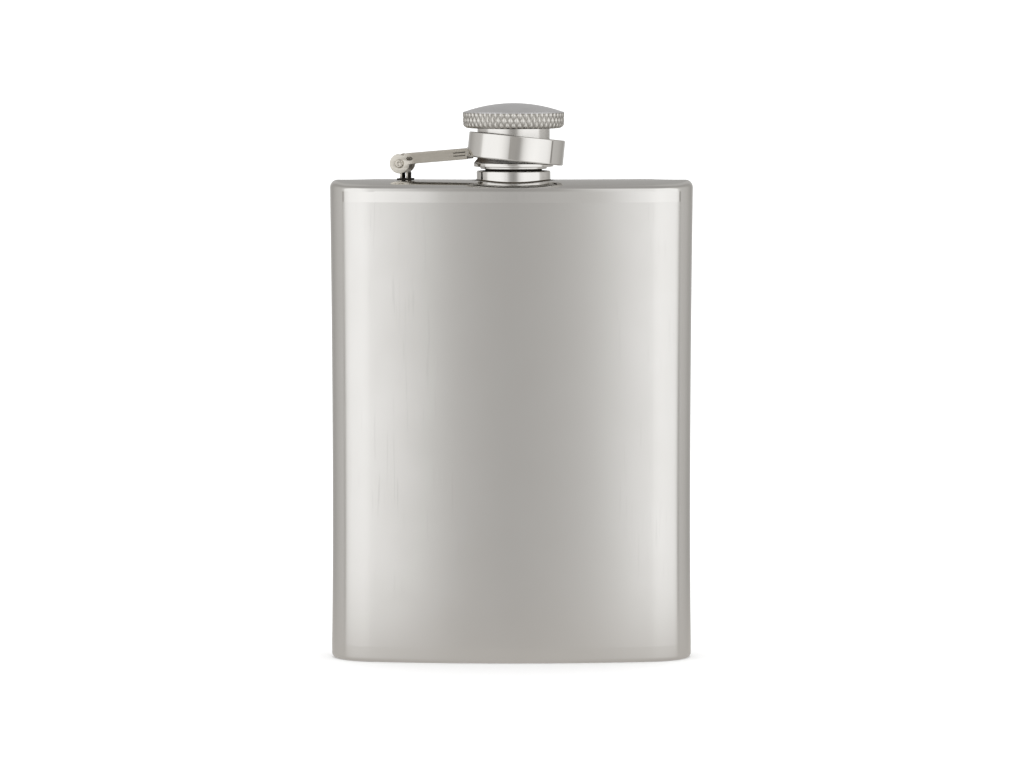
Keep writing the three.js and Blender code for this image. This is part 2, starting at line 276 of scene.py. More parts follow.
def plate(outline, holes, thickness, edge):
    """A flat plate in the X-Z plane with rounded edges, centred on y = 0."""
    curve = bpy.data.curves.new("plate", "CURVE")
    curve.dimensions = "2D"
    curve.fill_mode = "BOTH"
    curve.extrude = thickness / 2 - edge
    curve.bevel_depth = edge
    curve.bevel_resolution = 2
    curve.offset = -edge
    for loop in (outline, *holes):
        spline = curve.splines.new("POLY")
        spline.points.add(len(loop) - 1)
        for point, (x, y) in zip(spline.points, loop):
            point.co = (x, y, 0, 1)
        spline.use_cyclic_u = True
    holder = bpy.data.objects.new("plate", curve)
    bpy.context.scene.collection.objects.link(holder)
    bpy.context.view_layer.update()
    mesh = bpy.data.meshes.new_from_object(
        holder.evaluated_get(bpy.context.evaluated_depsgraph_get()))
    verts = [(v.co.x, -v.co.z, v.co.y) for v in mesh.vertices]
    faces = [tuple(p.vertices) for p in mesh.polygons]
    bpy.data.objects.remove(holder)
    bpy.data.curves.remove(curve)
    bpy.data.meshes.remove(mesh)
    return verts, faces


def moved(geometry, across):
    """The same, moved along the Y axis."""
    verts, faces = geometry
    return [(x, y + across, z) for x, y, z in verts], faces


def ellipse(x, y, radius_x, radius_y, steps):
    return [(x + radius_x * math.cos(TAU * i / steps), y + radius_y * math.sin(TAU * i / steps))
            for i in range(steps)]


def strip(path, section):
    """A strip whose section of (away, across) points follows a path of (x, z) points."""
    rows = []
    for i, (x, z) in enumerate(path):
        ahead = Vector(path[min(i + 1, len(path) - 1)])
        behind = Vector(path[max(i - 1, 0)])
        along = (ahead - behind).normalized()
        rows.append([(x - along.y * away, across, z + along.x * away)
                     for away, across in section])
    verts, faces = grid(rows, False, True)
    width = len(section)
    faces.append(tuple(range(width)))
    faces.append(tuple(len(verts) - 1 - j for j in range(width)))
    return verts, faces


# ---- Materials ----------------------------------------------------------------------------


class Nodes:
    """Adds nodes to one node tree and joins them."""

    def __init__(self, tree):
        self.tree = tree

    def add(self, kind, **settings):
        node = self.tree.nodes.new(kind)
        for key, value in settings.items():
            setattr(node, key, value)
        return node

    def link(self, source, target):
        self.tree.links.new(source, target)

    def fill(self, sockets, values):
        """Gives each socket its value: a number, a colour, or another node's output."""
        for socket, value in zip(sockets, values):
            if isinstance(value, (int, float)):
                socket.default_value = value
            elif isinstance(value, tuple):
                socket.default_value = (*value, 1)
            else:
                self.link(value, socket)

    def spread(self, source, low, high, to_low=0.0, to_high=1.0, curve="LINEAR"):
        """The source from low to high becomes to_low to to_high."""
        node = self.add("ShaderNodeMapRange", interpolation_type=curve)
        for name, value in (("From Min", low), ("From Max", high),
                            ("To Min", to_low), ("To Max", to_high)):
            node.inputs[name].default_value = value
        self.link(source, node.inputs["Value"])
        return node.outputs["Result"]

    def maths(self, operation, *values):
        node = self.add("ShaderNodeMath", operation=operation)
        self.fill(node.inputs, values)
        return node.outputs[0]

    def mixed(self, amount, first, second):
        """A colour from first to second as amount goes from 0 to 1."""
        node = self.add("ShaderNodeMix", data_type="RGBA")
        self.link(amount, node.inputs[0])
        self.fill(node.inputs[6:8], (first, second))
        return node.outputs[2]

    def either(self, amount, first, second):
        """A shader from first to second as amount goes from 0 to 1."""
        node = self.add("ShaderNodeMixShader")
        self.fill(node.inputs, (amount, first, second))
        return node.outputs[0]


class Finish(Nodes):
    """A procedural material on the Principled shader, worked in the piece's own millimetres."""

    def __init__(self, name):
        self.material = bpy.data.materials.new(name)
        self.material.use_nodes = True
        super().__init__(self.material.node_tree)
        self.shader = self.tree.nodes["Principled BSDF"]
        self.coordinates = self.add("ShaderNodeTexCoord").outputs["Object"]

    def noise(self, per_mm, stretch=(1, 1, 1), detail=3.0, turn=(0, 0, 0), seed=0.0):
        """Noise with that many cells to a millimetre, squeezed along each axis by stretch."""
        mapping = self.add("ShaderNodeMapping")
        mapping.inputs["Location"].default_value = (seed, seed * 0.7, seed * 0.3)
        mapping.inputs["Rotation"].default_value = turn
        mapping.inputs["Scale"].default_value = tuple(per_mm * s / MM for s in stretch)
        texture = self.add("ShaderNodeTexNoise")
        texture.inputs["Scale"].default_value = 1.0
        texture.inputs["Detail"].default_value = detail
        self.link(self.coordinates, mapping.inputs["Vector"])
        self.link(mapping.outputs["Vector"], texture.inputs["Vector"])
        return texture.outputs["Fac"]

    def colour(self, source):
        self.link(source, self.shader.inputs["Base Color"])

    def roughness(self, source):
        self.link(source, self.shader.inputs["Roughness"])

    def bump(self, height, distance_mm):
        node = self.add("ShaderNodeBump")
        node.inputs["Strength"].default_value = 1.0
        node.inputs["Distance"].default_value = distance_mm * MM
        self.link(height, node.inputs["Height"])
        self.link(node.outputs["Normal"], self.shader.inputs["Normal"])


def steel(name, pale, dull, rough_low, rough_high, grain_mm, grain_depth, scratch_depth,
          dark_tint=None, spread_from=None):
    """Polished or tumbled steel: cloudy wipe marks, a fine grain, and stray hairline marks.
    Grain_mm is the spacing of the grain and of the hairlines. With a dark tint, the piece's
    marks say how much of it is mixed in, or with spread_from it goes by distance from a
    point: (point, near, far, amount near, amount far). On the deck, neck, sleeve and post this
    tint is painted shade."""
    finish = Finish(name)
    grain_spacing, hairline_spacing = grain_mm
    clouds = finish.noise(0.09, detail=4.0)
    blotch = finish.spread(clouds, 0.3, 0.7)
    fine = finish.noise(1 / grain_spacing, stretch=(0.05, 0.05, 1.0), detail=2.0, seed=3.1)
    streaks = finish.noise(1 / hairline_spacing, stretch=(1.0, 1.0, 0.03), detail=1.0,
                           turn=(0.4, 0.5, 0.2), seed=7.7)
    hairlines = finish.spread(streaks, 0.66, 0.72)
    colour = finish.mixed(blotch, pale, dull)
    rough = finish.maths("ADD", finish.spread(clouds, 0.25, 0.75, rough_low, rough_high),
                         finish.maths("MULTIPLY", hairlines, 0.05))
    if dark_tint:
        if spread_from:
            point, near, far, amount_near, amount_far = spread_from
            away = finish.add("ShaderNodeVectorMath", operation="DISTANCE")
            finish.link(finish.coordinates, away.inputs[0])
            away.inputs[1].default_value = point * MM
            tint_amount = finish.spread(away.outputs["Value"], near * MM, far * MM,
                                     amount_near, amount_far)
        else:
            tint_amount = finish.add("ShaderNodeAttribute", attribute_name="marks").outputs["Fac"]
        colour = finish.mixed(tint_amount, colour, dark_tint)
        rough = finish.maths("ADD", rough, finish.maths("MULTIPLY", tint_amount, 0.4))
        finish.link(finish.maths("SUBTRACT", 1.0, tint_amount), finish.shader.inputs["Metallic"])
        finish.shader.inputs["Specular IOR Level"].default_value = 0.0
    else:
        finish.shader.inputs["Metallic"].default_value = 1.0
    finish.colour(colour)
    finish.roughness(rough)
    height = finish.maths("SUBTRACT", finish.maths("MULTIPLY", fine, grain_depth),
                          finish.maths("MULTIPLY", hairlines, scratch_depth))
    finish.bump(height, 1.0)
    return finish.material


# Pale and dull tones, roughness, the spacing of the grain and hairlines, and their depths.
SHELL_TONES = ((0.752, 0.744, 0.728), (0.738, 0.729, 0.711))
SHELL_GRAIN = ((0.12, 0.35), 0.00006, 0.0004)
FITTING = ((0.77, 0.76, 0.74), (0.75, 0.738, 0.712), 0.05, 0.085, (0.08, 0.3), 0.0002, 0.0006)
TUMBLED_GRAIN = (0.3, 0.25)

shell_steel = steel("Polished shell steel", *SHELL_TONES, 0.17, 0.2, *SHELL_GRAIN)
# The deck's dark tint is painted shade: a dark band round the collar's foot, standing in for the
# dark reflection and shade of the cap and arm there.
deck_steel = steel("Polished deck steel", *SHELL_TONES, 0.06, 0.1, *SHELL_GRAIN,
                   dark_tint=(0.05, 0.042, 0.035),
                   spread_from=(NECK_PLACE @ Vector((0, 0, -0.4)), 7.5, 8.5, 0.8, 0.0))
fitting_steel = steel("Mirror polished fittings", *FITTING)
# The neck's dark tint is painted shade in the groove above the collar, where its marks say.
neck_steel = steel("Neck steel", *FITTING, dark_tint=(0.03, 0.025, 0.02))
# The sleeve's dark tint is painted shade under the ring, on the slope above the lip.
sleeve_steel = steel("Cap sleeve steel", *FITTING, dark_tint=(0.12, 0.1, 0.08))
hinge_steel = steel("Tumbled hinge steel", (0.72, 0.69, 0.63), (0.6, 0.565, 0.5),
                    0.2, 0.34, TUMBLED_GRAIN, 0.004, 0.002)
# The arm's dark tint darkens it away from its front ear.
arm_steel = steel("Tumbled arm steel", (0.74, 0.715, 0.66), (0.58, 0.55, 0.49),
                  0.16, 0.36, TUMBLED_GRAIN, 0.005, 0.002, dark_tint=(0.2, 0.175, 0.14),
                  spread_from=(HINGE_PLACE @ Vector((0, -CHEEK_INSIDE, 0)), 1.9, 3.0, 0.0, 0.62))
# The post's dark tint is painted shade on its side faces and painted contact shadow over its foot.
post_steel = steel("Hinge post steel", (0.74, 0.71, 0.65), (0.62, 0.585, 0.52),
                   0.2, 0.34, TUMBLED_GRAIN, 0.004, 0.002, dark_tint=(0.03, 0.026, 0.022))


OFF_BAND = 2.0


def knurled_steel():
    """The cap's head: satin on the dome, bright on the knurl's points, dull in its grooves. Its
    marks are 0 in the grooves, 1 on the points and OFF_BAND everywhere else."""
    finish = Finish("Knurled head steel")
    finish.shader.inputs["Metallic"].default_value = 1.0
    relief = finish.add("ShaderNodeAttribute", attribute_name="marks").outputs["Fac"]
    grain = finish.noise(7.0, detail=4.0)
    clouds = finish.noise(0.35, detail=3.0, seed=2.0)
    satin = finish.mixed(clouds, (0.75, 0.752, 0.765), (0.69, 0.692, 0.705))
    point = finish.spread(relief, 0.0, 0.75)
    worn = finish.mixed(point, (0.36, 0.345, 0.315), (0.74, 0.725, 0.69))
    on_band = finish.spread(relief, 1.2, 1.3, 1.0, 0.0)
    finish.colour(finish.mixed(on_band, satin, worn))
    finish.roughness(finish.maths(
        "ADD", finish.spread(grain, 0.3, 0.7, 0.3, 0.42),
        finish.maths("MULTIPLY", on_band, -0.08)))
    finish.bump(grain, 0.006)
    return finish.material


def silicone():
    """The seal disc: pale translucent silicone with a matt moulded face."""
    finish = Finish("Moulded silicone")
    clouds = finish.noise(0.5, detail=3.0)
    grain = finish.noise(9.0, detail=2.0, seed=4.0)
    finish.colour(finish.mixed(clouds, (0.82, 0.8, 0.76), (0.74, 0.71, 0.66)))
    finish.roughness(finish.spread(grain, 0.3, 0.7, 0.42, 0.58))
    finish.shader.inputs["Subsurface Weight"].default_value = 0.2
    finish.shader.inputs["Subsurface Radius"].default_value = (0.002, 0.0015, 0.001)
    finish.bump(grain, 0.01)
    return finish.material


def braze():
    """The brazed joint at the neck's foot: a warm, slightly rippled metal, its dark colour partly
    the braze's own and partly painted shade where the collar meets the deck.
    """
    finish = Finish("Brazed joint")
    finish.shader.inputs["Metallic"].default_value = 0.3
    finish.shader.inputs["Specular IOR Level"].default_value = 0.1
    ripple = finish.noise(1.6, detail=3.0)
    # Near-black brown: partly the braze's own colour, partly painted shade of the joint.
    finish.colour(finish.mixed(ripple, (0.1, 0.08, 0.058), (0.035, 0.029, 0.022)))
    finish.roughness(finish.spread(ripple, 0.3, 0.7, 0.35, 0.55))
    finish.bump(ripple, 0.05)
    return finish.material


head_steel = knurled_steel()
seal_silicone = silicone()
braze_and_painted_shade = braze()

# ---- Body ---------------------------------------------------------------------------------

ARCH_STEPS = 56
END_STEPS = 48


def stations():
    """Points on the band's middle line with the outward direction there: front, +X end, back
    and -X end."""
    found = []
    for i in range(ARCH_STEPS):
        bend = BEND * (2 * i / ARCH_STEPS - 1)
        found.append((bend, bend - math.pi / 2))
    for i in range(END_STEPS):
        found.append((BEND, BEND - math.pi / 2 + math.pi * i / END_STEPS))
    for i in range(ARCH_STEPS):
        bend = BEND * (1 - 2 * i / ARCH_STEPS)
        found.append((bend, bend + math.pi / 2))
    for i in range(END_STEPS):
        found.append((-BEND, math.pi / 2 - BEND + math.pi * i / END_STEPS))
    return [(BEND_RADIUS * math.sin(bend), MIDDLE_Y + BEND_RADIUS * (1 - math.cos(bend)),
             math.cos(turn), math.sin(turn)) for bend, turn in found]


STATIONS = stations()


def reach(z):
    """The distance from the middle line out to the wall's outer face."""
    above = (z - WAIST_HEIGHT) / (DECK - WAIST_HEIGHT)
    below = (WAIST_HEIGHT - z) / WAIST_HEIGHT
    flare = WAIST_DEPTH * above ** 2 if z > WAIST_HEIGHT else BASE_FLARE * below ** 2
    return END_RADIUS - WAIST_DEPTH + flare


def crown(away, ny):
    """How far the deck has fallen at a distance from the middle line, where the edge faces ny."""
    fall = max(0.0, abs(away) - CROWN_LAND) ** 2 / (2 * CROWN_RADIUS)
    return fall * smoothstep(0.0, 0.8, abs(ny))


def deck_fall(x, y):
    """The same at any point on the deck."""
    centre_y = MIDDLE_Y + BEND_RADIUS
    bend = math.atan2(abs(x), centre_y - y)
    if bend <= BEND:
        return crown(math.hypot(x, centre_y - y) - BEND_RADIUS, math.cos(bend))
    end_x, end_y = BEND_RADIUS * math.sin(BEND), centre_y - BEND_RADIUS * math.cos(BEND)
    away = math.hypot(abs(x) - end_x, y - end_y)
    return crown(away, (y - end_y) / max(away, 1e-6))


def carried(profile):
    """A closed profile of (away, height) points carried round the body."""
    rows = [[(x + nx * away, y + ny * away, z) for away, z in profile]
            for x, y, nx, ny in STATIONS]
    return grid(rows, True, True)


def wall():
    """The wall between its two seams, drawn in at the waist."""
    spans = 40
    heights = [BASE_SEAM + (DECK_SEAM - BASE_SEAM) * i / spans for i in range(spans + 1)]
    outside = [(reach(z), z) for z in heights]
    inside = [(reach(z) - SHEET, z) for z in heights[::-4]]
    return carried(outside + inside)


def base():
    """The base plate: flat inside flat_to, with its edge turned up to the wall's foot."""
    away = reach(BASE_SEAM)
    inner = BASE_ROUNDING - SHEET
    flat_to = 2
    return carried(
        [(0, 0)]
        + rounded([(flat_to, 0, 0), (away, 0, BASE_ROUNDING), (away, BASE_SEAM, 0)], False,
                  degrees=10)
        + rounded([(away - SHEET, BASE_SEAM, 0), (away - SHEET, SHEET, inner),
                   (flat_to, SHEET, 0)], False)
        + [(0, SHEET)])


def deck():
    """The deck plate: a crowned top round the neck's hole, its rounded edge and its skirt."""
    away = reach(DECK_SEAM)
    inner = DECK_ROUNDING - SHEET
    top = DECK - DECK_ROUNDING
    lead = away - 3
    skirt_spans = 5
    spans = 14
    edge = rounded([(lead, DECK, 0), (reach(DECK), DECK, DECK_ROUNDING),
                    (away, DECK_SEAM, 0)], False, degrees=9)[1:-1]
    for k in range(1, skirt_spans + 1):
        z = top - (top - DECK_SEAM) * k / skirt_spans
        edge.append((reach(z), z))
    under = rounded([(away - SHEET, DECK_SEAM, 0), (away - SHEET, DECK - SHEET, inner),
                     (lead, DECK - SHEET, 0)], False)[:-1]
    rows = []
    for x, y, nx, ny in STATIONS:
        bearing = math.atan2(y + ny * away - MIDDLE_Y, x + nx * away - NECK_X)
        hole = (NECK_X + HOLE_RADIUS * math.cos(bearing),
                MIDDLE_Y + HOLE_RADIUS * math.sin(bearing))

        def surface(points, drop):
            """Points on the deck from the hole out to the start of its rounded edge."""
            far = (x + nx * points[0], y + ny * points[0])
            for k in range(spans):
                t = k / spans
                px, py = (hole[i] + (far[i] - hole[i]) * t for i in (0, 1))
                yield px, py, DECK - drop - deck_fall(px, py)

        def skirt(points, rounding):
            """The rounded edge ends level all round, so the crown fades out down it."""
            for reach_out, height in points:
                fall = crown(reach_out, ny) * max(0.0, (height - top) / rounding)
                yield x + nx * reach_out, y + ny * reach_out, height - fall

        rows.append([*surface(edge[0], 0.0), *skirt(edge, DECK_ROUNDING), *skirt(under, inner),
                     *reversed(list(surface(under[-1], SHEET)))])
    return grid(rows, True, True)


add_piece("wall", wall(), shell_steel, "root", replaces=["body_wall"])
add_piece("base", base(), shell_steel, "root", replaces=["base_plate"])
add_piece("deck", deck(), deck_steel, "root", replaces=["deck_plate"])

# ---- Neck ---------------------------------------------------------------------------------


def ridge(height, angle, bottom, turns):
    """How far a right-hand thread stands up at a height and an angle."""
    width = 0.56
    size = 0.45
    lap = (height - bottom) / THREAD_PITCH - angle / TAU
    middle = bottom + (round(lap) + angle / TAU) * THREAD_PITCH
    top = bottom + turns * THREAD_PITCH
    fade = 0.0
    if bottom - 1 < middle < top + 1:
        fade = (smoothstep(bottom - 0.2, bottom + 0.25, middle)
                * smoothstep(top + 0.2, top - 0.25, middle))
    off = abs(height - middle) / width
    return size * fade * max(0.0, 1 - off * off) ** 0.8


def neck():
    """The bore, the collar that stands in the deck, the groove above it and the threaded root."""
    root_from = 3.0
    profile = refined(rounded([
        (NECK_BORE, NECK_FOOT, 0.1), (COLLAR_RADIUS, NECK_FOOT, 0.1),
        (COLLAR_RADIUS, COLLAR_TOP, 0.22), (NECK_SHOULDER, COLLAR_TOP, 0.15),
        (NECK_SHOULDER, 2.7, 0.1), (NECK_ROOT, root_from, 0.1), (NECK_ROOT, NECK_RIM, 0.3),
        (NECK_BORE, NECK_RIM, 0.25)]), step=0.06, low=3.05, high=6.6)

    def thread(radius, height, angle):
        if abs(radius - NECK_ROOT) < 0.02 and height > root_from:
            radius += ridge(height, angle, NECK_THREAD_START, NECK_THREAD_LAPS)
        return radius, height

    return lathe(profile, 144, thread)


def neck_painted_shade(x, y, z):
    """Painted shade in the groove above the collar."""
    groove_radius = 5.6
    groove_top = 2.9
    return float(math.hypot(x, y) < groove_radius and COLLAR_TOP - 0.1 < z < groove_top)


neck_geometry = neck()
add_piece("neck", neck_geometry, neck_steel, "root", NECK_PLACE,
          ["neck_fitting"], marks=[neck_painted_shade(*point) for point in neck_geometry[0]])


def neck_braze():
    """A fillet of braze where the collar meets the crowned deck."""
    inner = COLLAR_RADIUS - 0.02
    outer = COLLAR_RADIUS + 0.5
    under = -0.3
    profile = rounded([(inner, under, 0.02), (outer, under, 0.02), (outer, 0.02, 0.02),
                       (COLLAR_RADIUS + 0.16, 0.07, 0.25), (inner, 0.24, 0.02)])

    def follow(radius, height, angle):
        x, y = NECK_X + radius * math.cos(angle), MIDDLE_Y + radius * math.sin(angle)
        return radius, height - deck_fall(x, y)

    return lathe(profile, 120, follow)


add_piece("neck_braze", neck_braze(), braze_and_painted_shade, "root", NECK_PLACE)

# ---- Cap ----------------------------------------------------------------------------------


def sleeve():
    """The threaded bore, the mouth with its lip, the slope above it, the waist and the spigot
    that the head is pressed on."""
    relief = 6.0
    relief_from = 6.9
    mouth = 6.4
    mouth_bottom = 2.2
    profile = refined(rounded([
        (0, CAP_ROOF, 0), (relief, CAP_ROOF, 0.1), (relief, relief_from, 0.05),
        (CAP_ROOT, 6.5, 0.1), (CAP_ROOT, 3.25, 0.1), (relief, 2.85, 0.08),
        (relief, mouth_bottom, 0.12), (mouth, mouth_bottom, 0.14), (mouth, LIP_BOTTOM, 0.08),
        (LIP_RADIUS, LIP_BOTTOM, 0.14), (LIP_RADIUS, 3.3, 0.2), (CAP_WAIST, 4.1, 0.4),
        (CAP_WAIST, HEAD_BOTTOM, 0.05), (SPIGOT_RADIUS, HEAD_BOTTOM, 0.05),
        (SPIGOT_RADIUS, SPIGOT_TOP, 0.1), (0, SPIGOT_TOP, 0)]), step=0.07, low=3.3, high=6.45)

    def thread(radius, height, angle):
        if abs(radius - CAP_ROOT) < 0.02:
            radius -= ridge(height, angle, CAP_THREAD_START, CAP_THREAD_LAPS)
        return radius, height

    return lathe(profile, 144, thread)


def sleeve_painted_shade(x, y, z):
    """Painted shade under the ring lies outside on the slope above the lip, most of it towards the
    hinge.
    """
    outside_from = CAP_WAIST - 0.05
    slope_from, slope_to = 3.5, 5.5
    least = 0.4
    if math.hypot(x, y) < outside_from or not slope_from < z < slope_to:
        return 0.0
    return least + (1 - least) * smoothstep(2.5, 6.0, -x)


sleeve_geometry = sleeve()
add_piece("sleeve", sleeve_geometry, sleeve_steel, "cap", NECK_PLACE,
          ["cap_sleeve"], marks=[sleeve_painted_shade(*point) for point in sleeve_geometry[0]])


def head_profile():
    """The head's outline from under its middle out, up the band and over the dome to the top,
    and how many of its points come before the band and how many are in it."""
    roof = SPIGOT_TOP + 0.1
    socket = SPIGOT_RADIUS + 0.03
    under = [(0, roof), (socket, roof), (socket, HEAD_BOTTOM + 0.1),
             (socket + 0.1, HEAD_BOTTOM), (6.5, HEAD_BOTTOM), (8.5, HEAD_BOTTOM)]
    side = HEAD_BOTTOM + HEAD_ROUNDING
    rim_bottom = DOME_RIM - 0.3
    band = []
    for k in range(17):
        angle = -math.pi / 2 + math.pi / 2 * k / 16
        band.append((HEAD_RADIUS - HEAD_ROUNDING + HEAD_ROUNDING * math.cos(angle),
                     side + HEAD_ROUNDING * math.sin(angle)))
    band += [(HEAD_RADIUS, side + (rim_bottom - side) * k / 18) for k in range(1, 19)]
    rim = rounded([(HEAD_RADIUS, rim_bottom, 0), (HEAD_RADIUS, DOME_RIM - 0.02, 0.26),
                   (DOME_RIM_RADIUS - 0.1, DOME_RIM + 0.035, 0)], False, degrees=12)[1:]
    rise = CAP_TOP - DOME_RIM
    dome = (DOME_RIM_RADIUS ** 2 + rise ** 2) / (2 * rise)
    half_angle = math.asin(DOME_RIM_RADIUS / dome)
    top = []
    for k in range(1, 25):
        angle = half_angle * (1 - k / 24)
        top.append((dome * math.sin(angle), CAP_TOP - dome + dome * math.cos(angle)))
    return under + band + rim + top, len(under), len(band)


def head():
    """The knurled head and its marks: two crossed families of grooves are cut into the band, the
    second one worn shallower, and both run out at the band's ends."""
    profile, before, in_band = head_profile()
    second_family = 0.85
    run_in = 0.9
    run_out = 0.1
    distance = [0.0]
    for (radius, height), (next_radius, next_height) in zip(profile, profile[1:]):
        distance.append(distance[-1] + math.hypot(next_radius - radius, next_height - height))
    start, end = distance[before], distance[before + in_band - 1]
    steps = KNURL_COUNT * 8
    rows, marks = [], []
    for i in range(steps):
        angle = TAU * i / steps
        lap = KNURL_COUNT * angle / TAU
        row = []
        for (radius, height), along in zip(profile, distance):
            mark = OFF_BAND
            if start < along < end + 0.25:
                climb = (along - start) / KNURL_PERIOD
                steep, faint = (min(1.0, 2.5 * abs(phase - round(phase)))
                                for phase in (lap + climb, lap - climb))
                point = 1 - max(1 - steep, second_family * (1 - faint))
                depth = KNURL_DEPTH * smoothstep(start, start + run_in, along)
                depth *= smoothstep(end + 0.3, end - run_out, along)
                radius -= depth * (1 - point)
                if along <= end:
                    mark = point
            row.append((radius * math.cos(angle), radius * math.sin(angle), height))
            marks.append(mark)
        rows.append(row)
    return grid(rows, True, False), marks


head_geometry, head_marks = head()
add_piece("head", head_geometry, head_steel, "cap", NECK_PLACE,
          ["cap_head"], sharp=75, marks=head_marks)


def seal():
    """A moulded disc. Its outer part is a little thicker and bears on the neck's rim."""
    face = 7.0
    roof = 8.1
    edge = 5.75
    return lathe(rounded([(0, face + 0.12, 0), (4.2, face + 0.12, 0.2), (4.5, face, 0.15),
                          (edge, face, 0.2), (edge, roof, 0.15), (0, roof, 0)]), 96)


add_piece("seal", seal(), seal_silicone, "seal", NECK_PLACE, ["cap_seal"])

# ---- Captive ring, arm and hinge ----------------------------------------------------------


def ring():
    """The ring, its bore widened towards the bottom."""
    half = RING_HEIGHT / 2
    return lathe(rounded([
        (RING_BORE + 0.45, -half, 0.12), (RING_RADIUS, -half, 0.28), (RING_RADIUS, half, 0.28),
        (RING_BORE, half, 0.3), (RING_BORE, -half + 0.85, 0.2)]), 192)


add_piece("ring", ring(), fitting_steel, "arm", RING_PLACE,
          ["captive_ring"])


def arm_middle(along):
    """The height of the arm's middle that far along it."""
    return ARM_ROOT_LIFT + along * ARM_SLOPE


def ring_face(across):
    """How far along the arm the ring's outer face is, that far off the arm's middle."""
    return ARM_REACH + RING_SHIFT - math.sqrt(RING_CLEAR ** 2 - across ** 2)


def arm_cheeks():
    """The two cheeks, with round ears for the rivet; a window and two slots are in the front
    one."""
    half = ARM_HEIGHT / 2
    ear_end = 1.2
    start = 3.0
    heel = start - 0.7
    away = CHEEK_INSIDE + CHEEK / 2
    far = ring_face(away)
    top_turn = math.radians(101)
    low_turn = math.radians(-6)
    ear = [(EAR_RADIUS * math.cos(angle), EAR_RADIUS * math.sin(angle))
           for angle in (low_turn - (TAU - top_turn + low_turn) * k / 28 for k in range(29))]
    outline = ear + [
        (ear_end, arm_middle(ear_end) + half - ARM_FOLD),
        (far, arm_middle(far) + half - ARM_FOLD),
        (far, arm_middle(far) - half), (start, arm_middle(start) - half),
        (heel, arm_middle(heel) - half - 0.06)]
    window = ellipse(x=2.0, y=0.98, radius_x=0.62, radius_y=0.36, steps=20)
    hole_radius = RIVET_RADIUS + 0.04
    hole = ellipse(0, 0, hole_radius, hole_radius, 24)
    slot_from, slot_to, slot_half = 10.6, 13.0, 0.08
    slots = []
    for up in (-0.28, 0.32):
        slots.append(rounded([
            (a, arm_middle(a) + up + side, 0.07) for a, side in
            ((slot_from, -slot_half), (slot_to, -slot_half), (slot_to, slot_half),
             (slot_from, slot_half))]))
    front = plate(outline, [window, hole, *slots], CHEEK, edge=0.1)
    back = plate(outline, [hole], CHEEK, edge=0.1)
    return moved(front, -away), moved(back, away)


def arm_fold():
    """The fold that joins the cheeks on top, its far end shaped to the ring."""
    outer = CHEEK_INSIDE + CHEEK
    thick = 0.5
    drop = ARM_FOLD + 0.06
    section = rounded([(-drop, -outer, 0.05), (0, -outer, thick), (0, outer, thick),
                       (-drop, outer, 0.05), (-drop, outer - thick, 0.05),
                       (-thick, outer - thick, 0.1), (-thick, -outer + thick, 0.1),
                       (-drop, -outer + thick, 0.05)])
    first, last = 0.9, ring_face(0)
    path = [(a, arm_middle(a) + ARM_HEIGHT / 2) for a in
            (first + (last - first) * k / 12 for k in range(13))]
    verts, faces = strip(path, section)
    for i in range(len(verts) - len(section), len(verts)):
        x, y, z = verts[i]
        verts[i] = (x + ring_face(y) - last, y, z)
    return verts, faces


add_piece("arm", joined(*arm_cheeks(), arm_fold()), arm_steel, "arm",
          HINGE_PLACE, ["hinge_arm"])


def arm_tab():
    """The tab at the arm's far end, bent to the ring and welded to it."""
    inner = RING_RADIUS - 0.08
    outer = RING_RADIUS + 0.2
    half_height = 0.8
    half_sweep = math.radians(18)
    profile = rounded([(inner, -half_height, 0.03), (outer, -half_height, 0.1),
                       (outer, half_height, 0.1), (inner, half_height, 0.03)])
    return lathe(profile, 16, start=math.pi - half_sweep, sweep=2 * half_sweep)


add_piece("arm_tab", arm_tab(), fitting_steel, "arm",
          RING_PLACE @ Matrix.Translation((0, 0, -1.5)))


def rivet():
    """A pin whose two heads are rolled over, with a dimple in each."""
    end = CHEEK_INSIDE + CHEEK
    head_radius = 0.95
    head_outline = [(0, 0.26, 0), (0.3, 0.3, 0.1), (0.42, 0.44, 0.1), (0.7, 0.4, 0.2),
                    (head_radius, 0.02, 0.12), (RIVET_RADIUS, 0.02, 0.03)]
    bottom = [(radius, -end - height, rounding) for radius, height, rounding in head_outline]
    top = [(radius, end + height, rounding) for radius, height, rounding in head_outline]
    return lathe(rounded(bottom + top[::-1]), 48)


add_piece("rivet", rivet(), hinge_steel, "swing",
          HINGE_PLACE @ Matrix.Rotation(math.pi / 2, 4, "X"), ["hinge_rivet"])


def post():
    """A strip rolled round the rivet, its two ends standing side by side on a thin foot."""
    half = POST_STRIP / 2
    eye = RIVET_RADIUS + 0.05 + half
    deep = CHEEK_INSIDE - 0.2
    leg_deep = 1.5
    bottom = -PIVOT_HEIGHT + 0.05
    meet = 0.55
    foot_level = -PIVOT_HEIGHT + POST_STRIP * 0.2

    def section(depth):
        return rounded([(-half, -depth, 0.1), (half, -depth, 0.1), (half, depth, 0.1),
                        (-half, depth, 0.1)])

    begin = math.radians(-120)
    sweep = math.radians(338)
    barrel = [(eye * math.cos(a), eye * math.sin(a)) for a in
              (begin + sweep * k / 34 for k in range(35))]
    # Each leg stands up straight, then leans in towards where the two would meet.
    stands = []
    for leg in POST_LEGS:
        path = [(leg, bottom), (leg, -2.4), (leg, -1.9), (leg + (meet - leg) * 0.25, -1.3),
                (leg + (meet - leg) * 0.6, -0.95)]
        stands.append(strip(path, section(leg_deep)))
    # The thin foot is tinted dark all over as painted contact shadow.
    foot = strip([(-0.75 + 2.7 * k / 4, foot_level) for k in range(5)],
                 [(away * 0.55, across * 0.8) for away, across in section(deep)])
    return joined(strip(barrel, section(deep)), *stands, foot)


